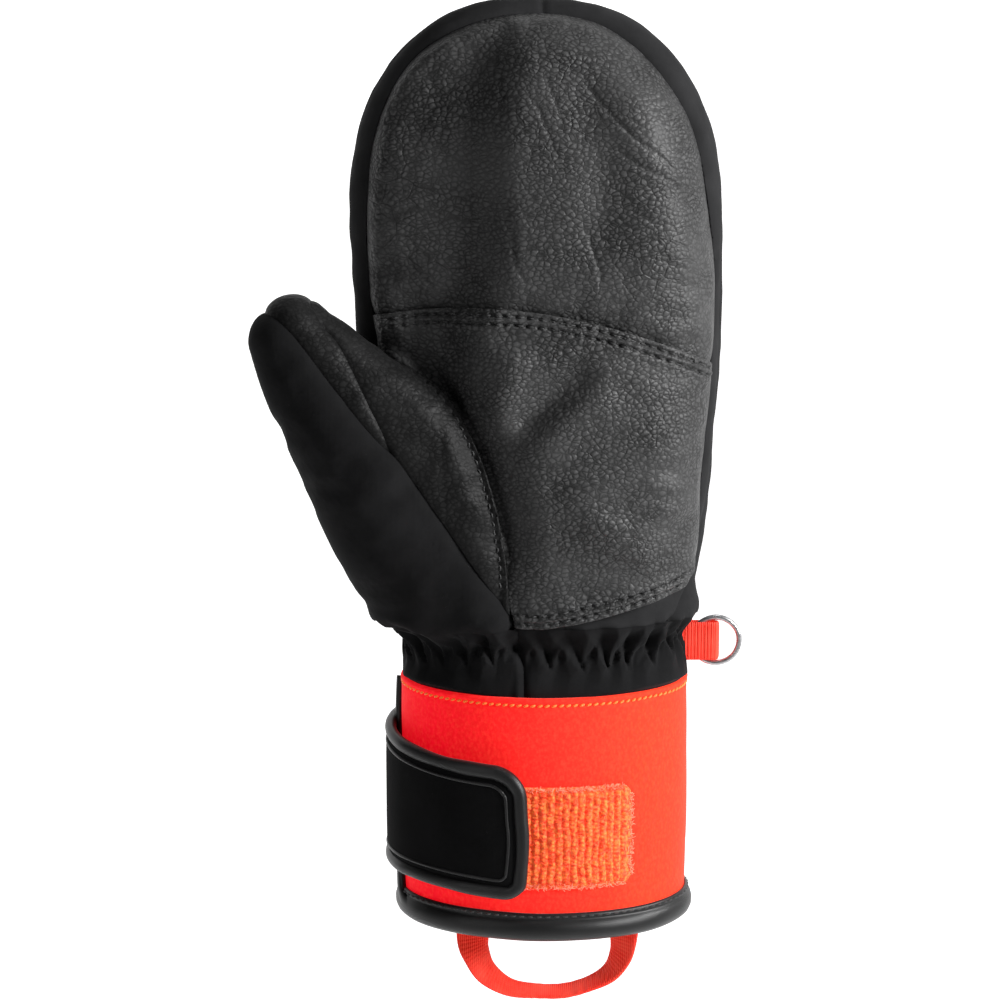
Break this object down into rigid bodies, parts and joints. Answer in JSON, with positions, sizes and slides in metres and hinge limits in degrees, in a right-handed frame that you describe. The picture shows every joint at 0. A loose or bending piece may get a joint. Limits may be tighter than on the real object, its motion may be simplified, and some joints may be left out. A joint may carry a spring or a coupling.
{
  "type": "ski mitten",
  "caption": "Left-hand insulated ski mitten with a leather palm, softshell back, neoprene cuff with closure tab, side ring and pull loop.",
  "frame": {"origin": "centre of the cuff's mouth, where the hand goes in", "axes": "+Z from the mouth to the fingertips, -Y out of the palm, +X towards the little finger, so the thumb is on -X"},
  "size_m": [0.1437, 0.0746, 0.302],
  "materials": {
    "leather": "pebbled black leather, satin",
    "softshell": "black softshell, matt",
    "wadding": "lofted polyester wadding",
    "fleece": "brushed fleece",
    "elastic": "knitted elastic",
    "neoprene": "neoprene faced with red-orange knit",
    "binding": "smooth black bias binding",
    "tab_fabric": "matt black woven fabric",
    "hook_tape": "hook tape",
    "loop_tape": "looped pile tape",
    "webbing": "ribbed webbing",
    "label": "blank woven label",
    "steel": "bright steel wire"
  },
  "bodies": {
    "cuff": {"cuff_sleeve": "neoprene", "cuff_lining": "fleece", "hem_binding": "binding", "loop_patch": "loop_tape", "care_label": "label", "tab_base": "tab_fabric", "wrist_gather_palm": "softshell", "wrist_gather_back": "softshell", "wrist_elastic": "elastic", "wrist_lining": "fleece", "pull_loop_end_left": "webbing", "pull_loop_end_right": "webbing"},
    "hand": {"palm_leather_lower": "leather", "back_panel_lower": "softshell", "side_band_little": "softshell", "side_band_thumb": "softshell", "wadding_hand": "wadding", "lining_hand": "fleece"},
    "fingers": {"palm_leather_upper": "leather", "back_panel_upper": "softshell", "side_band_tips": "softshell", "wadding_fingers": "wadding", "lining_fingers": "fleece"},
    "thumb": {"thumb_shell_panel": "softshell", "thumb_leather_strip": "leather", "thumb_leather_palm": "leather", "wadding_thumb": "wadding", "lining_thumb": "fleece"},
    "closure_tab": {"closure_tab": "tab_fabric", "tab_binding": "binding", "hook_patch": "hook_tape"},
    "side_tab": {"side_tab": "webbing"},
    "ring": {"ring": "steel"},
    "pull_loop": {"pull_loop": "webbing"}
  },
  "joints": [
    {"name": "wrist_flex", "type": "hinge", "parent": "cuff", "child": "hand", "pos_m": [0, 0, 0.082], "axis": [1, 0, 0], "range_deg": [-30, 30], "stiffness_Nm_per_rad": 1, "deforming": ["wrist_gather_palm", "wrist_gather_back", "wrist_elastic", "wrist_lining"]},
    {"name": "finger_flex", "type": "hinge", "parent": "hand", "child": "fingers", "pos_m": [0, -0.002, 0.176], "axis": [1, 0, 0], "range_deg": [0, 38], "stiffness_Nm_per_rad": 0.4, "deforming": ["palm_leather_upper", "palm_leather_lower", "back_panel_upper", "back_panel_lower", "side_band_tips", "side_band_little", "side_band_thumb", "lining_fingers", "lining_hand"]},
    {"name": "thumb_flex", "type": "hinge", "parent": "hand", "child": "thumb", "pos_m": [-0.025, -0.008, 0.11], "axis": [0, 0, 1], "range_deg": [-5, 12], "stiffness_Nm_per_rad": 0.3, "deforming": ["thumb_shell_panel", "thumb_leather_strip", "thumb_leather_palm", "lining_thumb"]},
    {"name": "tab_peel", "type": "hinge", "parent": "cuff", "child": "closure_tab", "pos_m": [-0.0394, 0.01765, 0.0365], "axis": [0, 0, -1], "range_deg": [0, 100]},
    {"name": "side_tab_fold", "type": "hinge", "parent": "cuff", "child": "side_tab", "pos_m": [0.0436, 0, 0.0814], "axis": [0, 0, 1], "range_deg": [-50, 50], "stiffness_Nm_per_rad": 0.003},
    {"name": "ring_slide", "type": "slide", "parent": "side_tab", "child": "ring", "axis": [1, 0, 0], "range_m": [0, 0.0016]},
    {"name": "pull_loop_swing", "type": "hinge", "parent": "cuff", "child": "pull_loop", "pos_m": [0.0009, -0.0168, -0.004], "axis": [1, 0, 0], "range_deg": [-75, 75]}
  ]
}
